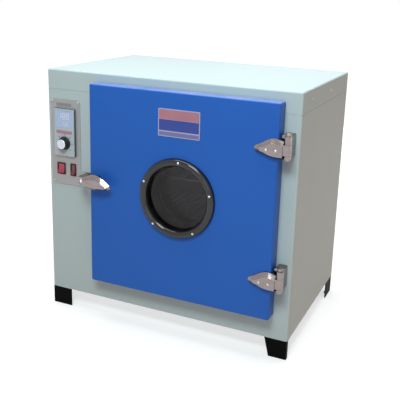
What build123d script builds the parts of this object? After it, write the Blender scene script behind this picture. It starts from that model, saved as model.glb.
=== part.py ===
from build123d import *
import math
import os

os.makedirs("parts", exist_ok=True)

# Bench drying oven with a blue side-hung door and a round window.
# Millimetres, +Z up, +Y to the rear. The origin is on the floor, in the middle
# of the whole footprint, latch handle and rear vent included.

# cabinet
body_w, body_d, body_h = 780.0, 500.0, 693.0
foot_h = 57.0
front_reach = 80.0              # latch handle in front of the frame face
rear_reach = 24.0               # vent knob behind the rear panel
half_w = body_w / 2
front = -(body_d + rear_reach - front_reach) / 2      # y of the frame face
rear = front + body_d
floor_z = foot_h
roof_z = foot_h + body_h
sheet = 1.5                     # painted case sheet
fold = 5.0                      # outer bend radius of the case
skirt = 58.0                    # depth of the top cover
seam = 0.5                      # open joint between two case sheets
lip = 12.0                      # side return of the front frame and rear panel
seam_z = roof_z - skirt - seam

# working chamber
mouth = 450.0                   # clear width and height
mouth_x, mouth_z = 66.0, 428.0  # centre of the door and of the chamber
mouth_r = 18.0
liner_t = 1.2
liner_back = 160.0              # y of the inner rear wall
lagging = 58.0                  # thickness of the rock wool
lagging_back = 212.0
baffle_y = 112.0
fan_z = mouth_z

# door
door_x0, door_x1 = -216.0, 346.5
door_z0, door_z1 = 131.0, 725.0
door_face = front - 45.0
door_back = front - 5.0
door_r = 4.5
plug = 436.0                    # square of the inner pan that enters the mouth
plug_end = front + 20.0
plug_draft = 6.0                # degrees
hinge_x, hinge_y = 372.0, front - 48.0
hinge_zs = {"lower": 247.0, "upper": 609.0}

# window
win_x, win_z = 66.0, 433.0
bezel_r, bezel_in = 113.5, 92.0
bezel_front = door_face - 14.0
glass_t = 5.0
sleeve_r = 88.0

# latch
latch_x, latch_y, latch_z = -188.0, front - 60.0, 447.0
roller_x, roller_y = -241.0, front - 42.0
keeper_z = latch_z - 9.0

# control column
plate_x0, plate_x1, plate_z0, plate_z1 = -380.0, -277.0, 403.0, 664.0
plate_t = 2.0
case_x0, case_x1, case_z0, case_z1 = -364.0, -292.0, 493.0, 637.0
case_front = front - 10.0
knob_x, knob_z = -327.5, 533.0
pane_x0, pane_x1, pane_z0, pane_z1 = -360.0, -300.0, 579.0, 631.0

# shelves
shelf_zs = {"lower": 325.0, "upper": 465.0}
shelf_w, shelf_y0, shelf_y1 = 432.0, -186.0, 104.0


def block(x0, x1, y0, y1, z0, z1):
    return Pos((x0 + x1) / 2, (y0 + y1) / 2, (z0 + z1) / 2) * Box(x1 - x0, y1 - y0, z1 - z0)


def rod_x(y, z, x0, x1, r):
    return Pos((x0 + x1) / 2, y, z) * Rot(0, 90, 0) * Cylinder(r, x1 - x0)


def rod_y(x, z, y0, y1, r):
    return Pos(x, (y0 + y1) / 2, z) * Rot(90, 0, 0) * Cylinder(r, y1 - y0)


def rod_z(x, y, z0, z1, r):
    return Pos(x, y, (z0 + z1) / 2) * Cylinder(r, z1 - z0)


def turned(points, x, z):
    """Profile of (radius, y) points turned about a line along Y through x, z."""
    return Pos(x, 0, z) * revolve(make_face(Polyline(*points, close=True)), Axis.Y)


def turned_z(points, x, y):
    """Profile of (radius, z) points turned about a vertical line through x, y."""
    profile = make_face(Polyline(*[(r, 0, z) for r, z in points], close=True))
    return Pos(x, y, 0) * revolve(profile, Axis.Z)


def slab(x, z, w, h, r, y0, y1, taper=0):
    """Upright plate with rounded corners, centred at x, z, from y0 to y1."""
    flat = RectangleRounded(w, h, r) if r else Rectangle(w, h)
    return Pos(x, y0, z) * extrude(Plane.XZ * flat, amount=-(y1 - y0), taper=taper)


def outline(points, y0, y1):
    """Closed outline of (x, z) points, extruded along Y."""
    face = make_face(Polyline(*[(x, 0, z) for x, z in points], close=True))
    return Pos(0, y0, 0) * extrude(face, amount=y1 - y0, dir=(0, 1, 0))


def pan(x0, x1, y0, y1, z0, z1, wall, r, side):
    """Folded tray with rounded bends, open towards one side such as '-z' or '+y'."""
    axis = {"x": Axis.X, "y": Axis.Y, "z": Axis.Z}[side[1]]
    pick = -1 if side[0] == "+" else 0

    def rounded(solid, radius):
        rim = solid.faces().sort_by(axis)[pick].edges()
        inner = [e for e in solid.edges() if e not in rim]
        return fillet(inner, radius)

    low, high = [x0, y0, z0], [x1, y1, z1]
    in_low = [v + wall for v in low]
    in_high = [v - wall for v in high]
    k = "xyz".index(side[1])
    if side[0] == "+":
        in_high[k] = high[k] + wall
    else:
        in_low[k] = low[k] - wall
    outer = rounded(block(x0, x1, y0, y1, z0, z1), r)
    inner = rounded(block(in_low[0], in_high[0], in_low[1], in_high[1], in_low[2], in_high[2]), r - wall)
    return outer - inner


def fused(pieces):
    whole = pieces[0]
    for piece in pieces[1:]:
        whole = whole + piece
    return whole


def mirror_x(shape, x=0.0):
    return mirror(shape, Plane.YZ.offset(x))


screw_r, screw_h = 3.6, 2.2


def screw_head():
    """Slotted pan head on the plane y = 0, standing towards +Y."""
    r, h = screw_r, screw_h
    head = turned([(0, 0), (r, 0), (r * 0.92, h * 0.55), (r * 0.6, h * 0.9), (0, h)], 0, 0)
    return head - Pos(0, h, 0) * Box(r * 1.5, h * 0.9, r * 0.28)


def screw_y(x, z, y, out=-1):
    return Pos(x, y, z) * Rot(0 if out > 0 else 180, 0, 0) * screw_head()


def screw_x(x, y, z, out=1):
    return Pos(x, y, z) * Rot(0, 0, -90 * out) * screw_head()


def save(name, shape):
    solids = shape.solids() if hasattr(shape, "solids") else shape
    solids = list(solids)
    whole = solids[0] if len(solids) == 1 else Compound(children=solids)
    export_step(whole, f"parts/{name}.step")
    print(f"{name:28s} solids {len(solids)}  volume {sum(s.volume for s in solids) / 1000:9.2f} cm3")


# The cabinet: outer shells and feet

def top_cover():
    return pan(-half_w, half_w, front, rear, roof_z - skirt, roof_z, sheet, fold, "-z")


def upright_pan(y0, y1, toward_rear):
    """Front frame or rear panel: flat face with side returns and a bottom lip."""
    solid = block(-half_w, half_w, y0, y1, floor_z, seam_z)
    face_y = y1 if toward_rear else y0
    corners = [e for e in solid.edges().filter_by(Axis.Z) if abs(e.center().Y - face_y) < 1]
    solid = fillet(corners, fold)
    shift = -sheet if toward_rear else sheet
    core = block(-half_w + sheet, half_w - sheet, y0 + shift, y1 + shift, floor_z + sheet, seam_z + 1)
    inner_y = face_y + shift
    corners = [e for e in core.edges().filter_by(Axis.Z) if abs(e.center().Y - inner_y) < 1]
    return solid - fillet(corners, fold - sheet)


def front_frame():
    frame = upright_pan(front, front + lip, False)
    frame -= slab(mouth_x, mouth_z, mouth, mouth, mouth_r, front - 1, front + 3)
    for x0, x1, z0, z1 in control_cutouts():
        frame -= block(x0, x1, front - 1, front + 3, z0, z1)
    return frame


def control_cutouts():
    gap = 0.3
    return [
        (case_x0 + 3 - gap, case_x1 - 3 + gap, case_z0 + 3 - gap, case_z1 - 3 + gap),
        *[(x - w / 2 - gap, x + w / 2 + gap, z - h / 2 - gap, z + h / 2 + gap)
          for x, z, w, h in switch_bodies()],
    ]


def switch_bodies():
    """Centre x, z and size of the two snap-in switch housings."""
    return [(-346.0, 452.0, 25.0, 32.0), (-303.5, 452.0, 16.0, 34.0)]


def side_panel():
    """Right-hand panel with front and rear flanges and a tab behind the top cover."""
    y0, y1 = front + lip + seam, rear - lip - seam
    wall = block(half_w - sheet, half_w, y0, y1, floor_z, seam_z)
    flanges = [block(half_w - 18, half_w - sheet, y, y + sheet, floor_z, seam_z)
               for y in (y0, y1 - sheet)]
    tab = block(half_w - 2 * sheet, half_w - sheet, y0 + 20, y1 - 20, seam_z - 14, seam_z + 16)
    return fused([wall, *flanges, tab])


louvre_w, louvre_h, louvre_out = 70.0, 9.0, 6.0
louvre_rows = [(x, z) for x in (-310, -220) for z in (180, 204, 228, 252, 276, 300)]
louvre_rows += [(x, z) for x in (20, 112) for z in (520, 544, 568)]


def louvre(x, z):
    """Pressed hood over a slot, open downwards."""
    wall = 1.2
    arc = ThreePointArc((0, louvre_h), (louvre_out * 0.78, louvre_h * 0.42), (louvre_out, 0))
    outer = make_face(arc + Line((louvre_out, 0), (0, 0)) + Line((0, 0), (0, louvre_h)))
    k = 1 - wall / louvre_out
    arc_in = ThreePointArc((0, louvre_h * k), (louvre_out * 0.78 * k, louvre_h * 0.42 * k),
                           (louvre_out * k, 0))
    inner = make_face(arc_in + Line((louvre_out * k, 0), (0, 0)) + Line((0, 0), (0, louvre_h * k)))
    hood = extrude(outer, louvre_w / 2, both=True) - extrude(inner, louvre_w / 2 - wall, both=True)
    # profile X points to the rear, profile Y points up, extrusion runs along X
    return Plane(origin=(x, rear, z), x_dir=(0, 1, 0), z_dir=(1, 0, 0)) * hood


def rear_panel():
    panel = upright_pan(rear - lip, rear, True)
    for x, z in louvre_rows:
        panel -= block(x - louvre_w / 2 + 1.2, x + louvre_w / 2 - 1.2, rear - 2, rear + 0.01, z, z + 6)
        panel += louvre(x, z)
    panel -= rod_y(vent_x, vent_z, rear - 3, rear + 1, vent_bore + 1.6)
    panel -= rod_y(gland_x, gland_z, rear - 3, rear + 1, gland_hole)
    return panel


def base_pan():
    gap = 2.4
    x1, y0, y1 = half_w - gap, front + lip + gap, rear - lip - gap
    tray = pan(-x1, x1, y0, y1, floor_z, floor_z + 22, sheet, 3.0, "+z")
    for y in (-90, 0, 90, 180):
        rib = extrude(Pos(0, y, floor_z + sheet) * SlotOverall(620, 18), 3.0, taper=25)
        tray += rib
    return tray


def bay_partition():
    """Sheet wall between the control bay and the lagging, with a front and a rear flange."""
    x = -234.0
    y0, y1 = front + 3, rear - lip - 6
    z0, z1 = floor_z + 24, roof_z - 4
    wall = block(x, x + sheet, y0, y1, z0, z1)
    ends = [block(x - 14, x, y, y + sheet, z0, z1) for y in (y0, y1 - sheet)]
    wall = fused([wall, *ends])
    for z in (240, 560):
        wall -= rod_x(200, z, x - 1, x + 3, 9)
    return wall


def foot(slant):
    """Folded foot: upright plate with a short corner return, a bolting flange and a corner pad.

    The plate runs along X from the corner; its free edge leans in by slant towards the floor."""
    t, arm, corner, depth = 3.0, 66.0, 14.0, 40.0
    outline = [(0, 0, 0), (arm - slant, 0, 0), (arm, 0, foot_h), (0, 0, foot_h)]
    upright = make_face(Polyline(*outline, close=True))
    plate = extrude(upright, amount=t, dir=(0, 1, 0))
    side = block(0, t, 0, corner, 0, foot_h)
    flange = block(0, arm, 0, depth, foot_h - t, foot_h)
    pad = block(0, 30, 0, corner, 0, t)
    whole = fused([plate, side, flange, pad])
    free = [e for e in whole.edges().filter_by(Axis.Z) if e.center().Y > depth - 1]
    whole = fillet(free, 8.0)
    return whole - rod_z(33, 22, foot_h - t - 1, foot_h + 1, 4.5)


foot_inset = 1.0
foot_slants = {"front_left": 0.0, "front_right": 14.0, "rear_right": 0.0, "rear_left": 0.0}


def placed_feet(make):
    """Front feet stand across the front, rear feet along the sides, the left ones mirrored."""
    x, y0, y1 = half_w - foot_inset, front + foot_inset, rear - foot_inset
    placed = []
    for name, slant in foot_slants.items():
        left = make(slant)
        right = mirror_x(left)
        if name == "front_left":
            placed.append((name, Pos(-x, y0, 0) * left))
        elif name == "front_right":
            placed.append((name, Pos(x, y0, 0) * right))
        elif name == "rear_right":
            placed.append((name, Pos(x, y1, 0) * Rot(0, 0, 90) * right))
        else:
            placed.append((name, Pos(-x, y1, 0) * Rot(0, 0, -90) * left))
    return placed


def foot_bolt(slant):
    """Hexagon bolt head with its washer, below the flange of a foot."""
    z = foot_h - 3.0
    washer = rod_z(33, 22, z - 1.5, z, 8.0)
    head = Pos(33, 22, z - 1.5 - 5.0) * extrude(RegularPolygon(6.5, 6), 5.0)
    return washer + head


# The chamber and what is in it

def rounded_box(x0, x1, y0, y1, z0, z1, r):
    """Box with its rear corners and its edges along Y rounded, square at the front."""
    solid = block(x0, x1, y0, y1, z0, z1)
    rim = solid.faces().sort_by(Axis.Y)[0].edges()
    return fillet([e for e in solid.edges() if e not in rim], r)


def liner_box(grow, y0, y1):
    h = mouth / 2 + grow
    return rounded_box(mouth_x - h, mouth_x + h, y0, y1, mouth_z - h, mouth_z + h, mouth_r + grow)


def chamber_liner():
    y0 = front + sheet
    shell = liner_box(liner_t, y0, liner_back + liner_t)
    w = mouth + 2 * 14
    shell += slab(mouth_x, mouth_z, w, w, mouth_r + 14, y0, y0 + liner_t)
    shell -= liner_box(0, y0 - 5, liner_back)
    shell -= rod_y(mouth_x, fan_z, liner_back - 1, liner_back + 3, 10)
    shell -= rod_y(vent_x, vent_z, liner_back - 1, liner_back + 3, vent_bore + 1.5)
    for x, z in heater_ends():
        shell -= rod_y(x, z, liner_back - 1, liner_back + 3, heater_tube + 0.6)
    shell -= rod_x(probe_y, probe_z, mouth_x - mouth / 2 - 3, mouth_x - mouth / 2 + 1, probe_r + 0.4)
    return shell


def chamber_lagging():
    """Rock wool block round the liner, bored for shaft, vent, heater ends and probe."""
    h = mouth / 2 + liner_t + lagging
    y0 = front + sheet + liner_t
    wool = block(mouth_x - h, mouth_x + h, y0, lagging_back, mouth_z - h, mouth_z + h)
    wool -= liner_box(liner_t, y0 - 5, liner_back + liner_t)
    wool -= rod_y(mouth_x, fan_z, liner_back, lagging_back + 1, 13)
    wool -= rod_y(vent_x, vent_z, liner_back, lagging_back + 1, vent_bore + 1.6)
    for x, z in heater_ends():
        wool -= rod_y(x, z, liner_back, lagging_back + 1, heater_tube + 0.8)
    wool -= rod_x(probe_y, probe_z, mouth_x - h - 1, mouth_x - mouth / 2, probe_r + 0.6)
    return wool


def chamber_supports():
    """Two hat-section rails that carry the lagged chamber above the base."""
    z0, z1 = floor_z + sheet + 3.2, mouth_z - mouth / 2 - liner_t - lagging
    rails = []
    for x in (-110.0, 240.0):
        section = [(x - 40, z0), (x - 22, z0), (x - 16, z1 - sheet), (x + 16, z1 - sheet), (x + 22, z0),
                   (x + 40, z0), (x + 40, z0 + sheet), (x + 22 + sheet, z0 + sheet),
                   (x + 16 + sheet, z1), (x - 16 - sheet, z1), (x - 22 - sheet, z0 + sheet), (x - 40, z0 + sheet)]
        rails.append(outline(section, front + lip + 8, lagging_back))
    return rails


vent_x, vent_z, vent_bore = 216.0, 604.0, 12.0
probe_y, probe_z, probe_r = -60.0, 622.0, 3.0
heater_tube = 4.0
heater_rings = [112.0, 134.0]
heater_y = 138.0
heater_gap = 16.0               # degrees left open at the bottom of each ring


def heater_ends():
    ends = []
    for r in heater_rings:
        for side in (-1, 1):
            a = math.radians(270 + side * heater_gap / 2)
            ends.append((mouth_x + r * math.cos(a), fan_z + r * math.sin(a)))
    return ends


def heater_ring(r):
    """One tubular heater: an open ring and two legs out through the rear wall."""
    a0 = math.radians(270 + heater_gap / 2)
    ring = Torus(r, heater_tube, major_angle=360 - heater_gap)
    # the torus lies in XY and starts on +X; it is stood up into the XZ plane
    ring = Rot(90, 0, 0) * ring
    ring = Rot(0, -math.degrees(a0), 0) * ring
    piece = Pos(mouth_x, heater_y, fan_z) * ring
    for x, z in heater_ends():
        if abs(math.hypot(x - mouth_x, z - fan_z) - r) < 1:
            piece = piece + Pos(x, heater_y, z) * Sphere(heater_tube)
            piece = piece + rod_y(x, z, heater_y, lagging_back + 14, heater_tube)
    return piece


def air_baffle():
    """Sheet in front of the fan: intake slots in the middle, outlet slots at both sides."""
    t = 1.2
    w, h, r = 412.0, 412.0, 12.0
    plate = slab(mouth_x, mouth_z, w, h, r, baffle_y, baffle_y + t)
    rim = slab(mouth_x, mouth_z, w, h, r, baffle_y, liner_back - 0.2)
    rim -= slab(mouth_x, mouth_z, w - 2 * t, h - 2 * t, r - t, baffle_y - 1, liner_back + 1)
    # the rim is only kept along the top and the bottom
    rim -= block(mouth_x - w, mouth_x + w, baffle_y + t, liner_back + 1,
                 mouth_z - h / 2 + 20, mouth_z + h / 2 - 20)
    plate = plate + rim
    reach = 58.0
    for k in range(-4, 5):
        x = mouth_x + 13.0 * k
        length = 2 * math.sqrt(reach ** 2 - (13.0 * k) ** 2)
        plate -= Pos(x, baffle_y - 1, fan_z) * extrude(Plane.XZ * Rot(0, 0, 90) * SlotOverall(length, 7), -4)
    for side in (-1, 1):
        for k in range(-5, 6):
            place = Pos(mouth_x + side * 172, baffle_y - 1, fan_z + 34 * k)
            plate -= place * extrude(Plane.XZ * SlotOverall(52, 8), -4)
    return plate


blade_count, impeller_r, impeller_y = 14, 78.0, 118.0
shaft_r = 6.0


def fan_impeller():
    """Centrifugal wheel: back plate, curved blades and a front ring."""
    depth, t = 24.0, 1.5
    back_y = impeller_y + depth
    wheel = rod_y(0, 0, back_y, back_y + t, impeller_r)
    wheel += rod_y(0, 0, impeller_y + 6, back_y + t + 8, 15)
    ring = rod_y(0, 0, impeller_y, impeller_y + t, impeller_r)
    ring -= rod_y(0, 0, impeller_y - 1, impeller_y + 3, 56)
    wheel += ring
    outer = ThreePointArc((50, 0), (64, 5), (impeller_r - 1, 17))
    inner = ThreePointArc((impeller_r - 1, 15.2), (64.4, 3.4), (50, -1.8))
    blade_face = make_face(outer + Line(outer @ 1, inner @ 0) + inner + Line(inner @ 1, outer @ 0))
    blade = extrude(Plane.XZ * blade_face, -(depth + 0.2))
    for k in range(blade_count):
        wheel += Rot(0, 360 / blade_count * k, 0) * Pos(0, impeller_y + t - 0.1, 0) * blade
    wheel -= rod_y(0, 0, impeller_y, back_y + 20, shaft_r)
    return Pos(mouth_x, 0, fan_z) * wheel


motor_y = 222.0


def fan_shaft():
    return turned([(0, impeller_y + 2), (shaft_r - 0.8, impeller_y + 2), (shaft_r, impeller_y + 3),
                   (shaft_r, motor_y + 26), (0, motor_y + 26)], mouth_x, fan_z)


def fan_motor():
    """Shaded-pole motor: stator pack between two end bells, bored for the shaft."""
    stator = slab(mouth_x, fan_z, 84, 84, 8, motor_y + 8, motor_y + 30)
    bell = turned([(0, motor_y), (18, motor_y), (20, motor_y + 4), (38, motor_y + 8), (0, motor_y + 8)],
                  mouth_x, fan_z)
    tail = turned([(0, motor_y + 30), (38, motor_y + 30), (34, motor_y + 40), (16, motor_y + 44),
                   (0, motor_y + 44)],
                  mouth_x, fan_z)
    motor = fused([stator, bell, tail, motor_bridge()])
    for k in range(8):
        a = math.radians(45 * k + 22.5)
        motor -= rod_y(mouth_x + 27 * math.cos(a), fan_z + 27 * math.sin(a), motor_y + 36, motor_y + 50, 3.5)
    return motor - rod_y(mouth_x, fan_z, motor_y - 1, motor_y + 27, shaft_r + 0.05)


def motor_bridge():
    """Bent strip that holds the motor off the lagging."""
    t, y = 3.0, motor_y
    strip = block(mouth_x - 75, mouth_x + 75, y - t, y, fan_z - 22, fan_z + 22)
    legs = [block(mouth_x + s * 75 - t / 2, mouth_x + s * 75 + t / 2, lagging_back, y, fan_z - 22, fan_z + 22)
            for s in (-1, 1)]
    feet = [block(mouth_x + s * 88 - 14, mouth_x + s * 88 + 14, lagging_back, lagging_back + t,
                  fan_z - 22, fan_z + 22)
            for s in (-1, 1)]
    bridge = fused([strip, *legs, *feet])
    return bridge - rod_y(mouth_x, fan_z, y - t - 1, y + 1, 12)


def temperature_probe():
    """Sensor tube with its hexagon fitting, through the left chamber wall."""
    wall_x = mouth_x - mouth / 2
    tube = rod_x(probe_y, probe_z, wall_x - 62, wall_x + 60, probe_r)
    tube = fillet(tube.faces().sort_by(Axis.X)[-1].edges(), 2.5)
    nut = Pos(wall_x, probe_y, probe_z) * Rot(0, 90, 0) * extrude(RegularPolygon(7, 6), 8)
    return tube + nut


def vent_tube():
    tube = rod_y(vent_x, vent_z, liner_back + 0.2, rear - sheet, vent_bore + 1.5)
    return tube - rod_y(vent_x, vent_z, liner_back - 1, rear + 1, vent_bore)


def vent_collar():
    """Turned outlet on the rear panel with two ports and the spindle of the damper."""
    y = rear
    ring = turned([(0, y), (34, y), (34, y + 3), (30, y + 6), (30, y + 12), (0, y + 12)], vent_x, vent_z)
    for s in (-1, 1):
        ring -= rod_y(vent_x, vent_z + s * 15, y + 3, y + 13, 7)
    ring -= rod_y(vent_x, vent_z, y - 1, y + 6, vent_bore)
    ring += rod_y(vent_x, vent_z, y + 4, y + 20, 3)
    return ring


def vent_damper():
    """Turning disc with two ports and a grip bar."""
    y = rear + 12.4
    disc = rod_y(vent_x, vent_z, y, y + 3.6, 29)
    for s in (-1, 1):
        disc -= rod_y(vent_x + s * 15, vent_z, y - 1, y + 5, 7)
    disc += block(vent_x - 3.2, vent_x + 3.2, y + 3, rear + rear_reach, vent_z - 26, vent_z + 26)
    return disc - rod_y(vent_x, vent_z, y - 1, rear + 20.4, 3.06)


def shelf_rails():
    """Left rail set: two uprights on the wall and five folded runners."""
    wall_x = mouth_x - mouth / 2
    pieces = [block(wall_x + 0.2, wall_x + 6, y - 9, y + 9, 226, 630) for y in (-150.0, 66.0)]
    for z in runner_zs:
        pieces.append(block(wall_x + 5, wall_x + 20, shelf_y0 + 6, shelf_y1 - 4, z - 1.5, z))
        pieces.append(block(wall_x + 5, wall_x + 6.5, shelf_y0 + 6, shelf_y1 - 4, z - 1.5, z + 9))
    return fused(pieces)


runner_zs = [shelf_zs["lower"] - 3.4 + 70 * k for k in (-1, 0, 1, 2, 3)]


def wire_shelf(z):
    """Welded rod shelf: rounded border, three cross rods and the close rods on top."""
    border_r, rod_r, step = 3.0, 1.5, 24.0
    x0, x1 = mouth_x - shelf_w / 2 + border_r, mouth_x + shelf_w / 2 - border_r
    y0, y1 = shelf_y0 + border_r, shelf_y1 - border_r
    place = Pos((x0 + x1) / 2, (y0 + y1) / 2, z)
    path = place * RectangleRounded(x1 - x0, y1 - y0, 14).face().outer_wire()
    section = Plane(origin=path @ 0, z_dir=path % 0) * Circle(border_r)
    shelf = sweep(section, path=path)
    for y in (y0 + 70, (y0 + y1) / 2, y1 - 70):
        shelf += rod_x(y, z - 0.6, x0, x1, 2.4)
    count = int((x1 - x0) // step)
    first = (x0 + x1 - (count - 1) * step) / 2
    for k in range(count):
        shelf += rod_y(first + k * step, z + 2.0, y0 - 0.8, y1 + 0.8, rod_r)
    return shelf


# The door, its window, hinges and latch

def door_skin():
    skin = pan(door_x0, door_x1, door_face, door_back, door_z0, door_z1, sheet, door_r, "+y")
    return skin - rod_y(win_x, win_z, door_face - 1, door_face + 3, 100)


def door_plug(w, r, y0, y1):
    return slab(mouth_x, mouth_z, w, w, r, y0, y1, taper=plug_draft)


def door_liner():
    """Inner pan of the door: flat flange, raised plug with sloping sides, window hole."""
    y0 = door_back - liner_t - 0.2
    inset = sheet + 0.1
    flange = slab((door_x0 + door_x1) / 2, (door_z0 + door_z1) / 2, door_x1 - door_x0 - 2 * inset,
                  door_z1 - door_z0 - 2 * inset, door_r, y0, y0 + liner_t)
    body = flange + door_plug(plug, 22, y0, plug_end)
    body -= door_plug(plug - 2 * liner_t, 22 - liner_t, y0, plug_end - liner_t)
    return body - rod_y(win_x, win_z, plug_end - 3, plug_end + 1, 84)


def door_lagging():
    y0, y1 = door_face + sheet, door_back - liner_t - 0.2
    m = sheet + 5
    wool = block(door_x0 + m, door_x1 - m, y0, y1, door_z0 + m, door_z1 - m)
    wool += door_plug(plug - 12, 16, y1 - 1, plug_end - liner_t - 0.5)
    return wool - rod_y(win_x, win_z, door_face, plug_end + 1, 100.5)


def door_gasket():
    """Moulded silicone ring that closes against the frame round the mouth."""
    y0, y1 = door_back - 0.2, front - 0.4
    ring = slab(mouth_x, mouth_z, 488, 488, 30, y0, y1) - slab(mouth_x, mouth_z, 460, 460, 16, y0 - 1, y1 + 1)
    tip = ring.faces().sort_by(Axis.Y)[-1].edges()
    return fillet(tip, 1.6)


def window_bezel():
    """Deep turned ring with a full round shoulder and a throat that slopes in to the glass."""
    a, b = door_face, bezel_front
    land = bezel_in + 9.0
    shoulder = ThreePointArc((bezel_r, a - 4), (bezel_r - 2.6, b + 2.8), (bezel_r - 8.5, b))
    throat = ThreePointArc((land, b), (bezel_in + 3.4, b + 2.6), (bezel_in, b + 9))
    lines = [Line((bezel_r, a), (bezel_r, a - 4)), shoulder, Line((bezel_r - 8.5, b), (land, b)), throat,
             Line((bezel_in, b + 9), (bezel_in, a + 6)), Line((bezel_in, a + 6), (99.4, a + 6)),
             Line((99.4, a + 6), (99.4, a)), Line((99.4, a), (bezel_r, a))]
    return Pos(win_x, 0, win_z) * revolve(make_face(lines), Axis.Y)


def window_sleeve():
    """Stainless tube between the panes, flanged behind the outer glass."""
    y0 = door_face + 6 + glass_t
    y1 = plug_end - liner_t - glass_t
    r = sleeve_r
    profile = [(r - 1.5, y0), (98, y0), (98, y0 + 1.5), (r, y0 + 1.5), (r, y1), (r - 1.5, y1)]
    return turned(profile, win_x, win_z)


def pane(y, r):
    return rod_y(win_x, win_z, y, y + glass_t, r)


def badge_plate():
    plate = slab(67, 641.5, 124, 76, 3, door_face - 1.2, door_face)
    return plate


def hinge_base(z):
    """Cast foot of the hinge on the frame, with two eyes for the pin."""
    low, high, eye = z - 24.0, z + 36.0, 9.5
    foot_block = block(352, 378, front - 36, front, low, high)
    foot_block = chamfer(foot_block.edges().filter_by(Axis.Y), 2.5)
    eyes = []
    for z0, z1 in ((low, z - 14.0), (z + 15.0, high)):
        eyes.append(rod_z(hinge_x, hinge_y, z0, z1, eye))
        eyes.append(block(hinge_x - eye, hinge_x + 6, hinge_y, front - 35, z0, z1))
    base = fused([foot_block, *eyes])
    return base - rod_z(hinge_x, hinge_y, low - 1, high + 1, 4.02)


def leaf(points, nose, y):
    """Closed spline outline through (x, z) points from the nose round to a straight root."""
    top, low = points
    edges = (Spline(*[(x, y, z) for x, z in [nose, *top]], tangents=[(0, 0, 1), (1, 0, -0.25)])
             + Spline(*[(x, y, z) for x, z in [nose, *low]], tangents=[(0, 0, -1), (1, 0, 0)])
             + Line((top[-1][0], y, top[-1][1]), (low[-1][0], y, low[-1][1])))
    return make_face(edges)


def hinge_strap(z):
    """Cast strap on the door: a pointed leaf with bevelled flanks, drawn round the pin."""
    root = hinge_x - 10.6
    back, mid, crest = door_face, door_face - 5.0, door_face - 15.0
    foot_top = [(295, z + 8.0), (318, z + 21.0), (340, z + 27.0), (root, z + 21.0)]
    foot_low = [(297, z - 14.0), (322, z - 21.5), (345, z - 25.5), (root, z - 25.0)]
    crest_top = [(306, z + 1.5), (322, z + 10.5), (340, z + 15.5), (root, z + 10.5)]
    crest_low = [(306, z - 8.5), (324, z - 15.0), (345, z - 18.5), (root, z - 18.5)]
    foot_leaf = leaf((foot_top, foot_low), (284, z - 3.0), mid)
    arm = extrude(foot_leaf, amount=back - mid, dir=(0, 1, 0))
    arm += loft([foot_leaf, leaf((crest_top, crest_low), (299, z - 3.0), crest)], ruled=True)
    eye = rod_z(hinge_x, hinge_y, z - 13.5, z + 14.5, 9.5)
    eye += block(root - 2, hinge_x, hinge_y - 9.5, hinge_y + 2, z - 13.5, z + 14.5)
    strap = arm + eye
    return strap - rod_z(hinge_x, hinge_y, z - 30, z + 40, 4.06)


def hinge_pin(z):
    """Headed pin, its head turned to a button above the upper eye."""
    low, high = z - 24.0, z + 36.0
    return turned_z([(0, low - 3), (6, low - 3), (6, low), (4, low), (4, high), (7, high), (7.4, high + 3),
                     (6.8, high + 7), (4.5, high + 9.6), (0, high + 10.6)], hinge_x, hinge_y)


def latch_base():
    """Cast seat of the handle: round pad on the door and two eyes."""
    pad = slab(latch_x - 2, latch_z - 3, 36, 34, 14, door_face - 4, door_face)
    eyes = []
    for z0, z1 in ((latch_z - 17, latch_z - 10.5), (latch_z + 9.5, latch_z + 16)):
        eyes.append(rod_z(latch_x, latch_y, z0, z1, 7))
        eyes.append(block(latch_x - 7, latch_x + 7, latch_y, door_face - 3, z0, z1))
    return fused([pad, *eyes]) - rod_z(latch_x, latch_y, latch_z - 30, latch_z + 30, 3.52)


def latch_pin():
    z = latch_z
    return turned_z([(0, z - 19), (5, z - 19), (5, z - 17), (3.5, z - 17), (3.5, z + 16), (5, z + 16),
                     (5, z + 17.5),
                     (0, z + 18)], latch_x, latch_y)


shield_foot = [(-46, -2), (-38, 9), (-20, 18), (0, 23.5), (18, 20), (36, 10), (50, 0), (55.5, -8), (49, -15),
               (34, -18.5), (12, -21), (-12, -21), (-32, -16), (-43, -9)]
shield_crest = [(-35, -3), (-29, 1.5), (-16, 6.5), (0, 9.5), (15, 7.5), (30, 1), (41, -5), (45, -9),
                (40, -11.5),
                (29, -13), (10, -14), (-10, -14), (-26, -11), (-34, -7)]


def shield_outline(points, y):
    ring = [(latch_x + x, y, latch_z + z) for x, z in points]
    return make_face(Spline(*ring, periodic=True))


def latch_handle():
    """Drawn-out lever: a ridged shield over the pivot, its grip end free, nose at the keeper."""
    x, z = latch_x, latch_z
    back, mid, crest = latch_y - 9.0, latch_y - 11.0, front - front_reach
    foot_face = shield_outline(shield_foot, mid)
    shield = extrude(foot_face, amount=back - mid, dir=(0, 1, 0))
    shield += loft([foot_face, shield_outline(shield_crest, crest)], ruled=True)
    eye = rod_z(x, latch_y, z - 10, z + 9, 7)
    neck = block(x - 7, x + 7, back - 1, latch_y, z - 10, z + 9)
    nose = block(x - 39, x - 8.5, latch_y - 10, latch_y - 3, keeper_z - 6, keeper_z + 6)
    return fused([shield, eye, neck, nose]) - rod_z(x, latch_y, z - 12, z + 12, 3.56)


def latch_keeper():
    """Bracket on the frame with two cheeks and the spindle of the roller."""
    z, left = keeper_z, -257.0
    pad = slab(-253, z, 42, 26, 4, front - 4, front)
    web = block(left, left + 8, front - 34, front - 3, z - 12, z + 12)
    cheeks = []
    for z0, z1 in ((z - 12, z - 7.5), (z + 7.5, z + 12)):
        cheeks.append(block(left, roller_x, roller_y - 7, front - 3, z0, z1))
        cheeks.append(rod_z(roller_x, roller_y, z0, z1, 7))
    spindle = rod_z(roller_x, roller_y, z - 9, z + 9, 3.0)
    keeper = fused([pad, web, *cheeks])
    return keeper + spindle


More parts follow.
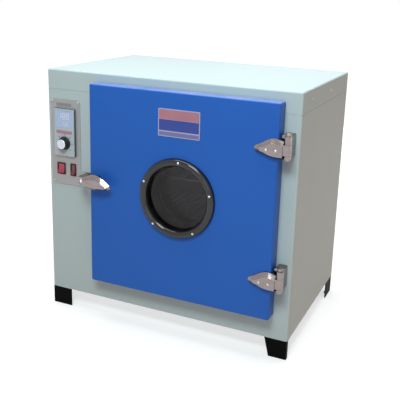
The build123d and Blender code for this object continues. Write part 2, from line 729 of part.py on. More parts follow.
def keeper_roller():
    z = keeper_z
    return turned_z([(3.06, z - 7), (6.0, z - 7), (6.6, z - 6.2), (6.6, z + 6.2), (6.0, z + 7),
                     (3.06, z + 7)],
                    roller_x, roller_y)


# The controls on the left column

def control_plate():
    plate = slab((plate_x0 + plate_x1) / 2, (plate_z0 + plate_z1) / 2,
                 plate_x1 - plate_x0, plate_z1 - plate_z0, 10,
                 front - plate_t, front)
    for x0, x1, z0, z1 in control_cutouts():
        plate -= block(x0, x1, front - 5, front + 1, z0, z1)
    return plate


def controller_case():
    """Panel instrument: moulded bezel in front of the plate, housing in the bay behind it."""
    face_y = front - plate_t
    cx, cz = (case_x0 + case_x1) / 2, (case_z0 + case_z1) / 2
    bezel = slab(cx, cz, case_x1 - case_x0, case_z1 - case_z0, 3, case_front, face_y)
    bezel = fillet(bezel.faces().sort_by(Axis.Y)[0].edges(), 1.4)
    tank = block(case_x0 + 3, case_x1 - 3, face_y - 1, front + 92, case_z0 + 3, case_z1 - 3)
    body = bezel + tank
    wall, back = 5.5, front + 92
    body -= block(case_x0 + wall, case_x1 - wall, case_front + 9, back - 2.5, case_z0 + wall, case_z1 - wall)
    for z in (case_z0 + 30, cz, case_z1 - 30):
        body -= block(cx - 22, cx + 22, back - 4, back + 1, z - 5, z + 5)
    body -= block(pane_x0, pane_x1, case_front - 1, case_front + 6, pane_z0, pane_z1)
    body -= rod_y(knob_x, knob_z, case_front - 1, case_front + 30, 3.06)
    return body


def controller_window():
    return block(pane_x0, pane_x1, case_front + 0.2, case_front + 1.7, pane_z0, pane_z1)


def display_module():
    """Display board behind the window: a plate with three digit blocks."""
    y = case_front + 6
    cx, cz = (pane_x0 + pane_x1) / 2, (pane_z0 + pane_z1) / 2
    board = block(pane_x0, pane_x1, y - 1.2, y, pane_z0, pane_z1)
    for k in (-1, 0, 1):
        board += slab(cx + 17 * k, cz + 3, 14, 24, 1.5, y - 3.6, y - 1)
    return board


def set_knob():
    """Fluted knob with a raised cap and a spindle."""
    y = case_front
    knob = turned([(0, y - 18), (15.4, y - 18), (16.4, y - 17), (17.6, y - 5), (19.4, y - 3.6),
                   (19.4, y - 0.4),
                   (0, y - 0.4)], knob_x, knob_z)
    for k in range(12):
        a = math.radians(30 * k)
        knob -= rod_y(knob_x + 18.8 * math.cos(a), knob_z + 18.8 * math.sin(a), y - 19, y - 5, 1.9)
    return knob + rod_y(knob_x, knob_z, y - 1, y + 24, 3.0)


def knob_cap():
    """Spun cap with a pointer groove towards the top."""
    y = case_front - 18
    cap = turned([(0, y - 1.4), (13.4, y - 1.4), (14.4, y - 0.6), (14.4, y), (0, y)], knob_x, knob_z)
    return cap - block(knob_x - 0.8, knob_x + 0.8, y - 2, y - 0.8, knob_z + 5, knob_z + 15)


def switch_housings():
    """Snap-in rocker housings: a thin bezel in front and a hollow body behind the plate."""
    parts = []
    y = front - plate_t
    for x, z, w, h in switch_bodies():
        body = slab(x, z, w + 4, h + 4, 1.5, y - 2.2, y)
        body += block(x - w / 2, x + w / 2, y - 0.5, front + 26, z - h / 2, z + h / 2)
        body -= block(x - w / 2 + 2, x + w / 2 - 2, y - 4, front + 12, z - h / 2 + 1.5, z + h / 2 - 1.5)
        parts.append(body)
    return parts


rocker_tilt = 8.0


def rocker(k):
    """Rocker button: shallow V front and a round back, at rest with its top end pressed in."""
    x, z, w, h = switch_bodies()[k]
    y = front - plate_t - 2.2
    half = h / 2 - 2.2
    profile = make_face(Polyline((-half, -3.0), (0, -0.6), (half, -3.0), (half - 0.8, 5), (5, 9), (-5, 9),
                                 (-half + 0.8, 5), close=True))
    # profile X runs along Z, profile Y runs along Y
    body = extrude(profile, (w - 4.8) / 2, both=True)
    body = Plane(origin=(0, 0, 0), x_dir=(0, 0, 1), z_dir=(-1, 0, 0)) * body
    return Pos(x, y + 2.0, z) * Rot(-rocker_tilt, 0, 0) * body


gland_x, gland_z, gland_hole = -330.0, 110.0, 10.2


def cable_gland():
    """Empty cord inlet: hexagon body and dome nut, open right through."""
    y = rear
    hexes = Pos(gland_x, y, gland_z) * Rot(-90, 0, 0) * extrude(RegularPolygon(15, 6), 6)
    dome = turned([(0, y + 6), (12.5, y + 6), (12.5, y + 12), (9, y + 18), (0, y + 18)], gland_x, gland_z)
    tail = rod_y(gland_x, gland_z, y - 14, y, 10)
    nut = Pos(gland_x, y - sheet, gland_z) * Rot(90, 0, 0) * extrude(RegularPolygon(15, 6), 5)
    return fused([hexes, dome, tail, nut]) - rod_y(gland_x, gland_z, y - 20, y + 20, 5.5)


def case_screws():
    """Pan heads of one size on the rear panel, top cover, control plate and latch keeper."""
    heads = []
    for z in (90, 280, 470, 660):
        for s in (-1, 1):
            heads.append(screw_y(s * 378, z, rear, out=1))
    for y in (-130, 60, 220):
        for s in (-1, 1):
            heads.append(screw_x(s * half_w, y, roof_z - 30, out=s))
    for x in (plate_x0 + 7, plate_x1 - 7):
        for z in (plate_z0 + 7, plate_z1 - 7):
            heads.append(screw_y(x, z, front - plate_t))
    for s in (-1, 1):
        heads.append(screw_y(-267.0, keeper_z + s * 7, front - 4))
    return heads


def door_screws():
    """Pan heads of the same size on the window bezel and the two hinge straps."""
    r = bezel_r - 9.0
    heads = []
    for turn in range(86, 446, 72):
        a = math.radians(turn)
        heads.append(screw_y(win_x + r * math.cos(a), win_z + r * math.sin(a), bezel_front))
    for z in hinge_zs.values():
        for x in (318, 344):
            heads.append(screw_y(x, z - 3, door_face - 15))
    return heads


# Every piece is written to its own file

def write_all():
    save("top_cover", top_cover())
    save("front_frame", front_frame())
    right = side_panel()
    save("side_panel_right", right)
    save("side_panel_left", mirror_x(right))
    save("rear_panel", rear_panel())
    save("base_pan", base_pan())
    save("bay_partition", bay_partition())
    for name, shape in placed_feet(foot):
        save(f"foot_{name}", shape)
    save("foot_bolts", ShapeList([s for _, shape in placed_feet(foot_bolt) for s in shape.solids()]))

    save("chamber_liner", chamber_liner())
    save("chamber_lagging", chamber_lagging())
    save("chamber_supports", ShapeList([s for r in chamber_supports() for s in r.solids()]))
    left_rails = shelf_rails()
    save("shelf_rails_left", left_rails)
    save("shelf_rails_right", mirror_x(left_rails, mouth_x))
    save("air_baffle", air_baffle())
    save("heater_elements", ShapeList([s for r in heater_rings for s in heater_ring(r).solids()]))
    save("fan_impeller", fan_impeller())
    save("fan_shaft", fan_shaft())
    save("fan_motor", fan_motor())
    save("temperature_probe", temperature_probe())
    save("vent_tube", vent_tube())
    save("vent_collar", vent_collar())
    save("vent_damper", vent_damper())
    for level, z in shelf_zs.items():
        save(f"shelf_{level}", wire_shelf(z))

    save("door_skin", door_skin())
    save("door_liner", door_liner())
    save("door_lagging", door_lagging())
    save("door_gasket", door_gasket())
    save("window_bezel", window_bezel())
    save("window_sleeve", window_sleeve())
    save("window_glass_outer", pane(door_face + 6, 98))
    save("window_glass_inner", pane(plug_end - liner_t - glass_t, 94))
    save("badge_plate", badge_plate())
    for level, z in hinge_zs.items():
        save(f"hinge_base_{level}", hinge_base(z))
        save(f"hinge_strap_{level}", hinge_strap(z))
    save("hinge_pins", ShapeList([s for z in hinge_zs.values() for s in hinge_pin(z).solids()]))
    save("door_screws", ShapeList([s for h in door_screws() for s in h.solids()]))
    save("latch_base", latch_base())
    save("latch_pin", latch_pin())
    save("latch_handle", latch_handle())
    save("latch_keeper", latch_keeper())
    save("keeper_roller", keeper_roller())

    save("control_plate", control_plate())
    save("controller_case", controller_case())
    save("controller_window", controller_window())
    save("display_module", display_module())
    save("set_knob", set_knob())
    save("knob_cap", knob_cap())
    save("switch_housings", ShapeList([s for b in switch_housings() for s in b.solids()]))
    save("rocker_heat", rocker(0))
    save("rocker_fan", rocker(1))
    save("cable_gland", cable_gland())
    save("case_screws", ShapeList([s for h in case_screws() for s in h.solids()]))


write_all()
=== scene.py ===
import math

import bmesh
import bpy
from mathutils import Matrix, Vector


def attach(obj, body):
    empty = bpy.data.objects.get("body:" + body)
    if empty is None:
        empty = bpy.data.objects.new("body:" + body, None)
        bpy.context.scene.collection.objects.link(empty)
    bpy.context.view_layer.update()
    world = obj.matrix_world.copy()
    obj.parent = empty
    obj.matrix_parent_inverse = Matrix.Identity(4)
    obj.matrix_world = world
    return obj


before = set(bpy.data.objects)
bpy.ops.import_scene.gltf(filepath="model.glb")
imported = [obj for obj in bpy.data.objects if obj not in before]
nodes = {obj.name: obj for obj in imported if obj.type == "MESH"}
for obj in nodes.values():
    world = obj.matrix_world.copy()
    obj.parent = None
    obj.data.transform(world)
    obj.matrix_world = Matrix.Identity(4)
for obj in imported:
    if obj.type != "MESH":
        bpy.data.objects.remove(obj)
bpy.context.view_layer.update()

scene = bpy.context.scene
mm = 0.001
print("frame loaded:", len(nodes), "nodes")

# where the camera stands: metres and radians
cameraSettings = {
    "place": (0.8426, -1.8394, 1.0051),
    "pitch": -0.2580,      # nose down
    "roll": 0.0323,
    "yaw": 0.4108,         # turned to the left of +Y
    "lens": 60.42,
    "sensor": 36.0,
    "shift": (-0.02255, -0.0978),
    "clipEnd": 50.0,
}


def makeCamera(settings):
    yaw, pitch, roll = settings["yaw"], settings["pitch"], settings["roll"]
    forward = Vector((-math.sin(yaw) * math.cos(pitch), math.cos(yaw) * math.cos(pitch),
                      math.sin(pitch)))
    right = Vector((math.cos(yaw), math.sin(yaw), 0))
    up = right.cross(forward)
    rolledRight = right * math.cos(roll) + up * math.sin(roll)
    rolledUp = up * math.cos(roll) - right * math.sin(roll)
    data = bpy.data.cameras.new("studioCamera")
    data.lens = settings["lens"]
    data.sensor_width = settings["sensor"]
    data.shift_x, data.shift_y = settings["shift"]
    data.dof.use_dof = False
    data.clip_end = settings["clipEnd"]
    camera = bpy.data.objects.new("studioCamera", data)
    turn = Matrix((rolledRight, rolledUp, -forward)).transposed().to_4x4()
    camera.matrix_world = Matrix.Translation(settings["place"]) @ turn
    scene.collection.objects.link(camera)
    scene.camera = camera


makeCamera(cameraSettings)
print("camera set")


# short forms for building node trees

def link(tree, a, b):
    tree.links.new(a, b)


def addNode(tree, kind, **values):
    node = tree.nodes.new(kind)
    for key, value in values.items():
        setattr(node, key, value)
    return node


def setInputs(node, **values):
    for key, value in values.items():
        node.inputs[key.replace("_", " ")].default_value = value


def mathNode(tree, operation, a, b, clamp=False):
    node = addNode(tree, "ShaderNodeMath", operation=operation, use_clamp=clamp)
    for socket, value in zip(node.inputs, (a, b)):
        if isinstance(value, float):
            socket.default_value = value
        else:
            link(tree, value, socket)
    return node.outputs[0]


def noiseAt(tree, place, **values):
    noise = addNode(tree, "ShaderNodeTexNoise")
    setInputs(noise, **values)
    link(tree, place, noise.inputs["Vector"])
    return noise


def objectPlace(tree):
    return addNode(tree, "ShaderNodeTexCoord").outputs["Object"]


def newGroup(name, inputs, outputs):
    tree = bpy.data.node_groups.new(name, "ShaderNodeTree")
    for label, kind, value in inputs:
        socket = tree.interface.new_socket(label, in_out="INPUT", socket_type=kind)
        socket.default_value = value
    for label, kind in outputs:
        tree.interface.new_socket(label, in_out="OUTPUT", socket_type=kind)
    return tree, addNode(tree, "NodeGroupInput"), addNode(tree, "NodeGroupOutput")


def useGroup(tree, group, **values):
    node = addNode(tree, "ShaderNodeGroup", node_tree=group)
    for key, value in values.items():
        node.inputs[key].default_value = value
    return node


# surface effects that several finishes share, each a node group of its own

paintGrainSettings = {
    "drift": {"Detail": 3.0, "Roughness": 0.55},
    "peel": {"Detail": 1.0, "Roughness": 0.4},
}


def buildPaintGrain(settings):
    # slow drift of tone, and the fine orange peel of sprayed enamel
    group, source, result = newGroup(
        "paintGrain",
        [("peelScale", "NodeSocketFloat", 700.0), ("driftScale", "NodeSocketFloat", 3.0)],
        [("Tone", "NodeSocketFloat"), ("Height", "NodeSocketFloat")])
    place = objectPlace(group)
    drift = noiseAt(group, place, **settings["drift"])
    link(group, source.outputs["driftScale"], drift.inputs["Scale"])
    peel = noiseAt(group, place, **settings["peel"])
    link(group, source.outputs["peelScale"], peel.inputs["Scale"])
    link(group, drift.outputs["Fac"], result.inputs["Tone"])
    link(group, peel.outputs["Fac"], result.inputs["Height"])
    return group


edgeWearSettings = {
    "samples": 4,
    "gain": 6.0,           # how soon a bend counts as a worn edge
    "noise": {"Detail": 4.0, "Roughness": 0.6},
    "cut": {"From_Min": 0.42, "From_Max": 0.62},
}


def buildEdgeWear(settings):
    # bright rubbed line along the bends, broken up by noise
    group, source, result = newGroup(
        "edgeWear",
        [("radius", "NodeSocketFloat", 0.002), ("amount", "NodeSocketFloat", 0.5),
         ("breakUp", "NodeSocketFloat", 60.0)],
        [("Mask", "NodeSocketFloat")])
    bevel = addNode(group, "ShaderNodeBevel", samples=settings["samples"])
    link(group, source.outputs["radius"], bevel.inputs["Radius"])
    geometry = addNode(group, "ShaderNodeNewGeometry")
    dot = addNode(group, "ShaderNodeVectorMath", operation="DOT_PRODUCT")
    link(group, bevel.outputs["Normal"], dot.inputs[0])
    link(group, geometry.outputs["Normal"], dot.inputs[1])
    bend = mathNode(group, "SUBTRACT", 1.0, dot.outputs["Value"], clamp=True)
    sharp = mathNode(group, "MULTIPLY", bend, settings["gain"], clamp=True)
    noise = noiseAt(group, objectPlace(group), **settings["noise"])
    link(group, source.outputs["breakUp"], noise.inputs["Scale"])
    spread = addNode(group, "ShaderNodeMapRange")
    setInputs(spread, **settings["cut"])
    link(group, noise.outputs["Fac"], spread.inputs["Value"])
    broken = mathNode(group, "MULTIPLY", sharp, spread.outputs["Result"])
    mask = mathNode(group, "MULTIPLY", broken, source.outputs["amount"], clamp=True)
    link(group, mask, result.inputs["Mask"])
    return group


brushGrainSettings = {"noise": {"Scale": 1.0, "Detail": 3.0, "Roughness": 0.7}}


def buildBrushGrain(settings):
    # fine parallel lines: noise squeezed across the stroke and stretched along it
    group, source, result = newGroup(
        "brushGrain",
        [("stroke", "NodeSocketVector", (12.0, 900.0, 900.0))],
        [("Line", "NodeSocketFloat")])
    scaled = addNode(group, "ShaderNodeVectorMath", operation="MULTIPLY")
    link(group, objectPlace(group), scaled.inputs[0])
    link(group, source.outputs["stroke"], scaled.inputs[1])
    noise = noiseAt(group, scaled.outputs["Vector"], **settings["noise"])
    link(group, noise.outputs["Fac"], result.inputs["Line"])
    return group


dustAndSheenFilmSettings = {
    "falloff": 3.0,        # higher keeps the dust and the painted highlight to what is level
    "noise": {"Detail": 6.0, "Roughness": 0.65},
}


def buildDustAndSheenFilm(settings):
    # thin film on what faces up, thicker in patches: dust, and on the door also a painted
    # highlight on its upward faces
    group, source, result = newGroup(
        "dustAndSheenFilm",
        [("amount", "NodeSocketFloat", 0.2), ("patchScale", "NodeSocketFloat", 14.0)],
        [("Mask", "NodeSocketFloat")])
    geometry = addNode(group, "ShaderNodeNewGeometry")
    split = addNode(group, "ShaderNodeSeparateXYZ")
    link(group, geometry.outputs["Normal"], split.inputs[0])
    upward = mathNode(group, "MAXIMUM", split.outputs["Z"], 0.0)
    facing = mathNode(group, "POWER", upward, settings["falloff"])
    noise = noiseAt(group, objectPlace(group), **settings["noise"])
    link(group, source.outputs["patchScale"], noise.inputs["Scale"])
    film = mathNode(group, "MULTIPLY", facing, noise.outputs["Fac"])
    mask = mathNode(group, "MULTIPLY", film, source.outputs["amount"], clamp=True)
    link(group, mask, result.inputs["Mask"])
    return group


paintGrain = buildPaintGrain(paintGrainSettings)
edgeWear = buildEdgeWear(edgeWearSettings)
brushGrain = buildBrushGrain(brushGrainSettings)
dustAndSheenFilm = buildDustAndSheenFilm(dustAndSheenFilmSettings)
print("shader groups built")


# finishes

def mixColour(tree, factor, a, b):
    # a colour is a tuple of three, anything else is a socket
    mix = addNode(tree, "ShaderNodeMix", data_type="RGBA")
    link(tree, factor, mix.inputs[0])
    for socket, value in ((mix.inputs[6], a), (mix.inputs[7], b)):
        if isinstance(value, tuple):
            socket.default_value = (*value, 1)
        else:
            link(tree, value, socket)
    return mix.outputs[2]


def newMaterial(name):
    material = bpy.data.materials.new(name)
    material.use_nodes = True
    tree = material.node_tree
    return material, tree, tree.nodes["Principled BSDF"]


def addBump(tree, shader, height, strength, depth):
    bump = addNode(tree, "ShaderNodeBump")
    setInputs(bump, Strength=strength, Distance=depth)
    link(tree, height, bump.inputs["Height"])
    link(tree, bump.outputs["Normal"], shader.inputs["Normal"])


def roughnessFrom(tree, shader, value, low, high):
    spread = addNode(tree, "ShaderNodeMapRange")
    setInputs(spread, To_Min=low, To_Max=high)
    link(tree, value, spread.inputs["Value"])
    link(tree, spread.outputs["Result"], shader.inputs["Roughness"])


def enamel(name, settings):
    # sprayed paint: drifting tone, orange peel, worn bends and a film of dust on what faces up,
    # which on the door is also a painted highlight
    material, tree, shader = newMaterial(name)
    grain = useGroup(tree, paintGrain, peelScale=settings["peelScale"],
                     driftScale=settings["driftScale"])
    wear = useGroup(tree, edgeWear, radius=settings["wearRadius"], amount=settings["wear"],
                    breakUp=settings["breakUp"])
    dustAndSheen = useGroup(tree, dustAndSheenFilm, amount=settings["dustAndSheen"], patchScale=settings["dustAndSheenPatch"])
    toned = mixColour(tree, grain.outputs["Tone"], settings["dark"], settings["light"])
    worn = mixColour(tree, wear.outputs["Mask"], toned, settings["worn"])
    dustedAndSheened = mixColour(tree, dustAndSheen.outputs["Mask"], worn, settings["dustAndSheenColour"])
    link(tree, dustedAndSheened, shader.inputs["Base Color"])
    roughnessFrom(tree, shader, grain.outputs["Tone"], *settings["roughness"])
    setInputs(shader, Coat_Weight=settings["coat"], Coat_Roughness=settings["coatRoughness"],
              Specular_IOR_Level=settings["specular"])
    addBump(tree, shader, grain.outputs["Height"], settings["peel"], settings["peelDepth"])
    return material


casePaintSettings = {
    "dark": (0.465, 0.560, 0.570), "light": (0.500, 0.600, 0.610), "worn": (0.56, 0.63, 0.64),
    "roughness": (0.42, 0.52), "specular": 0.07, "coat": 0.0, "coatRoughness": 0.25,
    "peel": 0.10, "peelScale": 650.0, "peelDepth": 0.0002, "driftScale": 2.5,
    "wear": 0.25, "wearRadius": 0.0012, "breakUp": 45.0,
    "dustAndSheen": 0.05, "dustAndSheenPatch": 9.0, "dustAndSheenColour": (0.62, 0.60, 0.56),
}
doorPaintSettings = dict(
    casePaintSettings,
    dark=(0.021, 0.118, 0.490), light=(0.026, 0.134, 0.530), worn=(0.04, 0.18, 0.56),
    # the door's dust film, far heavier than the case's, is partly dust and partly a painted
    # highlight that makes its top edge paler
    roughness=(0.32, 0.40), specular=0.14, dustAndSheen=0.45, wear=0.3)
footPaintSettings = dict(
    casePaintSettings,
    dark=(0.003, 0.003, 0.003), light=(0.005, 0.004, 0.004), worn=(0.02, 0.02, 0.02),
    roughness=(0.45, 0.58), specular=0.03, dustAndSheen=0.01, wear=0.15, wearRadius=0.001)


def metal(name, settings):
    # brushed or cast metal: streaks in tone and gloss, edges rubbed bright; on chrome the tone
    # itself is a painted reflection
    material, tree, shader = newMaterial(name)
    brush = useGroup(tree, brushGrain, stroke=settings["stroke"])
    wear = useGroup(tree, edgeWear, radius=settings["wearRadius"], amount=settings["wear"],
                    breakUp=settings["breakUp"])
    base = mixColour(tree, brush.outputs["Line"], settings["dark"], settings["light"])
    worn = mixColour(tree, wear.outputs["Mask"], base, settings["worn"])
    link(tree, worn, shader.inputs["Base Color"])
    setInputs(shader, Metallic=settings["metallic"])
    roughnessFrom(tree, shader, brush.outputs["Line"], *settings["roughness"])
    addBump(tree, shader, brush.outputs["Line"], settings["bump"], settings["bumpDepth"])
    return material


# chrome's dark warm-pink base colour is a painted reflection of a darker, warmer room than the
# white it mirrors
chromePaintedReflectionSettings = {
    "dark": (0.200, 0.160, 0.155), "light": (0.310, 0.275, 0.275), "worn": (0.60, 0.58, 0.60),
    "metallic": 1.0, "roughness": (0.07, 0.16), "stroke": (42.0, 42.0, 60.0),
    "bump": 0.04, "bumpDepth": 0.0001,
    "wear": 0.3, "wearRadius": 0.0008, "breakUp": 120.0,
}
stainlessSettings = dict(
    chromePaintedReflectionSettings,
    dark=(0.40, 0.40, 0.39), light=(0.50, 0.50, 0.49), worn=(0.62, 0.62, 0.61),
    roughness=(0.26, 0.42), stroke=(900.0, 9.0, 900.0), bump=0.10)
zincSettings = dict(
    stainlessSettings,
    dark=(0.38, 0.40, 0.42), light=(0.50, 0.52, 0.53), roughness=(0.42, 0.60),
    stroke=(40.0, 40.0, 40.0))
screwSettings = dict(
    chromePaintedReflectionSettings,
    dark=(0.42, 0.42, 0.42), light=(0.54, 0.54, 0.53), roughness=(0.22, 0.34))
heaterSettings = dict(
    stainlessSettings,
    dark=(0.12, 0.10, 0.09), light=(0.24, 0.19, 0.16), roughness=(0.45, 0.65),
    stroke=(70.0, 70.0, 70.0))
motorSettings = dict(
    stainlessSettings,
    dark=(0.22, 0.23, 0.24), light=(0.34, 0.35, 0.36), roughness=(0.50, 0.68),
    stroke=(220.0, 220.0, 220.0))
# the window sleeve's near-black steel is painted shade inside the window port
sleevePaintedShadeSettings = dict(
    stainlessSettings,
    dark=(0.035, 0.032, 0.034), light=(0.060, 0.055, 0.058), worn=(0.10, 0.10, 0.10),
    roughness=(0.34, 0.48), stroke=(60.0, 400.0, 60.0))
plateSettings = dict(
    stainlessSettings,
    dark=(0.345, 0.340, 0.350), light=(0.385, 0.380, 0.390), metallic=0.25,
    roughness=(0.40, 0.50), stroke=(14.0, 700.0, 1400.0), bump=0.05)
badgeSettings = dict(
    plateSettings,
    dark=(0.34, 0.34, 0.48), light=(0.41, 0.41, 0.55), roughness=(0.28, 0.38))
knobCapSettings = dict(
    stainlessSettings,
    dark=(0.56, 0.58, 0.70), light=(0.66, 0.68, 0.80), metallic=0.6,
    roughness=(0.24, 0.34), stroke=(500.0, 500.0, 60.0), bump=0.06)


def plastic(name, settings):
    # moulded plastic: faint spark texture, a little polish on its edges
    material, tree, shader = newMaterial(name)
    grain = useGroup(tree, paintGrain, peelScale=settings["grainScale"],
                     driftScale=settings["driftScale"])
    wear = useGroup(tree, edgeWear, radius=settings["wearRadius"], amount=settings["wear"],
                    breakUp=settings["breakUp"])
    toned = mixColour(tree, grain.outputs["Tone"], settings["dark"], settings["light"])
    worn = mixColour(tree, wear.outputs["Mask"], toned, settings["worn"])
    link(tree, worn, shader.inputs["Base Color"])
    roughnessFrom(tree, shader, grain.outputs["Tone"], *settings["roughness"])
    setInputs(shader, Coat_Weight=settings["coat"], Coat_Roughness=settings["coatRoughness"],
              Specular_IOR_Level=settings["specular"])
    addBump(tree, shader, grain.outputs["Height"], settings["bump"], settings["bumpDepth"])
    return material


bezelSettings = {
    "dark": (0.005, 0.005, 0.007), "light": (0.009, 0.008, 0.012), "worn": (0.03, 0.03, 0.035),
    "roughness": (0.05, 0.10), "specular": 0.50, "coat": 0.0, "coatRoughness": 0.08,
    "bump": 0.02, "bumpDepth": 0.0001, "grainScale": 1400.0, "driftScale": 18.0,
    "wear": 0.3, "wearRadius": 0.0006, "breakUp": 150.0,
}
blackPlasticSettings = dict(
    bezelSettings,
    dark=(0.012, 0.014, 0.018), light=(0.020, 0.023, 0.028), roughness=(0.38, 0.50),
    specular=0.2, bump=0.12)
switchBodySettings = dict(
    blackPlasticSettings,
    dark=(0.040, 0.010, 0.014), light=(0.055, 0.014, 0.019), roughness=(0.30, 0.40))
caseTealSettings = dict(
    bezelSettings,
    dark=(0.045, 0.090, 0.115), light=(0.060, 0.110, 0.135), worn=(0.15, 0.2, 0.22),
    roughness=(0.36, 0.46), bump=0.10)
# the display window's pale blue is its blue tint with a painted reflection of white light laid
# into it
displayTintAndReflectionSettings = dict(
    bezelSettings,
    dark=(0.340, 0.470, 0.700), light=(0.420, 0.560, 0.790), worn=(0.6, 0.7, 0.85),
    roughness=(0.10, 0.16), coat=0.5, bump=0.0)
displayDarkSettings = dict(
    bezelSettings,
    dark=(0.10, 0.12, 0.17), light=(0.13, 0.15, 0.21), roughness=(0.3, 0.4))
rockerBrightSettings = dict(
    bezelSettings,
    dark=(0.380, 0.010, 0.044), light=(0.480, 0.016, 0.060), worn=(0.60, 0.08, 0.11),
    roughness=(0.18, 0.26), coat=0.4, bump=0.03)
rockerDarkSettings = dict(
    rockerBrightSettings,
    dark=(0.130, 0.010, 0.020), light=(0.180, 0.014, 0.028))
siliconeSettings = dict(
    bezelSettings,
    dark=(0.42, 0.40, 0.37), light=(0.52, 0.50, 0.46), worn=(0.6, 0.58, 0.55),
    roughness=(0.5, 0.62), bump=0.05)


rockWoolSettings = {
    "dark": (0.22, 0.18, 0.09), "light": (0.50, 0.44, 0.27), "roughness": (0.85, 1.0),
    "fibre": {"Scale": 160.0, "Detail": 8.0, "Roughness": 0.8, "Distortion": 1.5},
    "bump": 0.6, "bumpDepth": 0.002,
}


def rockWool(name, settings):
    material, tree, shader = newMaterial(name)
    fibre = noiseAt(tree, objectPlace(tree), **settings["fibre"]).outputs["Fac"]
    matted = mixColour(tree, fibre, settings["dark"], settings["light"])
    link(tree, matted, shader.inputs["Base Color"])
    roughnessFrom(tree, shader, fibre, *settings["roughness"])
    addBump(tree, shader, fibre, settings["bump"], settings["bumpDepth"])
    return material


glassSettings = {
    "tint": (0.62, 0.60, 0.63), "ior": 1.25, "roughness": (0.0, 0.05),
    "smear": {"Scale": 22.0, "Detail": 5.0, "Roughness": 0.6},
}


def windowGlass(name, settings):
    # toughened pane with a faint smear in its polish
    material, tree, shader = newMaterial(name)
    setInputs(shader, Transmission_Weight=1.0, IOR=settings["ior"],
              Base_Color=(*settings["tint"], 1))
    smear = noiseAt(tree, objectPlace(tree), **settings["smear"])
    roughnessFrom(tree, shader, smear.outputs["Fac"], *settings["roughness"])
    return material


materials = {
    "casePaint": enamel("casePaint", casePaintSettings),
    "doorPaint": enamel("doorPaint", doorPaintSettings),
    "footPaint": enamel("footPaint", footPaintSettings),
    "chrome": metal("chrome", chromePaintedReflectionSettings),
    "stainless": metal("stainless", stainlessSettings),
    "zincSheet": metal("zincSheet", zincSettings),
    "screwPlate": metal("screwPlate", screwSettings),
    "heaterSheath": metal("heaterSheath", heaterSettings),
    "castMotor": metal("castMotor", motorSettings),
    "panelSilver": metal("panelSilver", plateSettings),
    "badgeSilver": metal("badgeSilver", badgeSettings),
    "sleeveSteelPaintedShade": metal("sleeveSteelPaintedShade", sleevePaintedShadeSettings),
    "knobSilver": metal("knobSilver", knobCapSettings),
    "bezelBlack": plastic("bezelBlack", bezelSettings),
    "blackPlastic": plastic("blackPlastic", blackPlasticSettings),
    "caseTeal": plastic("caseTeal", caseTealSettings),
    "displayTintAndReflection": plastic("displayTintAndReflection", displayTintAndReflectionSettings),
    "displayDark": plastic("displayDark", displayDarkSettings),
    "rockerBright": plastic("rockerBright", rockerBrightSettings),
    "rockerDark": plastic("rockerDark", rockerDarkSettings),
    "silicone": plastic("silicone", siliconeSettings),
    "switchBody": plastic("switchBody", switchBodySettings),
    "rockWool": rockWool("rockWool", rockWoolSettings),
    "windowGlass": windowGlass("windowGlass", glassSettings),
}

finishOfNode = {
    "casePaint": ["top_cover", "front_frame", "rear_panel", "side_panel_left",
                  "side_panel_right", "case_screws"],
    "doorPaint": ["door_skin"],
    "footPaint": ["foot_front_left", "foot_front_right", "foot_rear_left", "foot_rear_right"],
    "chrome": ["hinge_base_lower", "hinge_base_upper", "hinge_strap_lower",
               "hinge_strap_upper", "hinge_pins", "latch_base", "latch_pin", "latch_handle",
               "latch_keeper", "keeper_roller"],
    "stainless": ["chamber_liner", "shelf_rails_left", "shelf_rails_right", "air_baffle",
                  "fan_impeller", "fan_shaft", "temperature_probe", "vent_tube",
                  "shelf_lower", "shelf_upper", "door_liner"],
    "zincSheet": ["base_pan", "bay_partition", "chamber_supports"],
    "screwPlate": ["foot_bolts", "door_screws"],
    "heaterSheath": ["heater_elements"],
    "castMotor": ["fan_motor", "vent_collar"],
    "panelSilver": ["control_plate"],
    "badgeSilver": ["badge_plate"],
    "sleeveSteelPaintedShade": ["window_sleeve"],
    "knobSilver": ["knob_cap"],
    "bezelBlack": ["window_bezel"],
    "blackPlastic": ["set_knob", "cable_gland", "vent_damper"],
    "switchBody": ["switch_housings"],
    "caseTeal": ["controller_case"],
    "displayTintAndReflection": ["controller_window"],
    "displayDark": ["display_module"],
    "rockerBright": ["rocker_heat"],
    "rockerDark": ["rocker_fan"],
    "silicone": ["door_gasket"],
    "rockWool": ["chamber_lagging", "door_lagging"],
    "windowGlass": ["window_glass_outer", "window_glass_inner"],
}


def dressNodes():
    dressed = set()
    for finish, names in finishOfNode.items():
        for name in names:
            slots = nodes[name].data.materials
            slots.clear()
            slots.append(materials[finish])
            dressed.add(name)
    print("nodes dressed:", len(dressed), "bare:", sorted(set(nodes) - dressed))


dressNodes()


# thin inlays that sit on the CAD faces; their sizes are in millimetres

def cornerPoints(x0, x1, z0, z1, radius, steps=6):
    # outline of a rounded rectangle, anticlockwise
    points = []
    centres = [(x1 - radius, z1 - radius, 0), (x0 + radius, z1 - radius, 90),
               (x0 + radius, z0 + radius, 180), (x1 - radius, z0 + radius, 270)]
    for cx, cz, start in centres:
        for k in range(steps + 1):
            turn = math.radians(start + 90 * k / steps)
            points.append((cx + radius * math.cos(turn), cz + radius * math.sin(turn)))
    return points


def circlePoints(x, z, radius, steps=64):
    turns = [2 * math.pi * k / steps for k in range(steps)]
    return [(x + radius * math.cos(turn), z + radius * math.sin(turn)) for turn in turns]


def addPiece(name, mesh, material, body):
    mesh.materials.clear()
    mesh.materials.append(material)
    piece = bpy.data.objects.new(name, mesh)
    scene.collection.objects.link(piece)
    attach(piece, body)


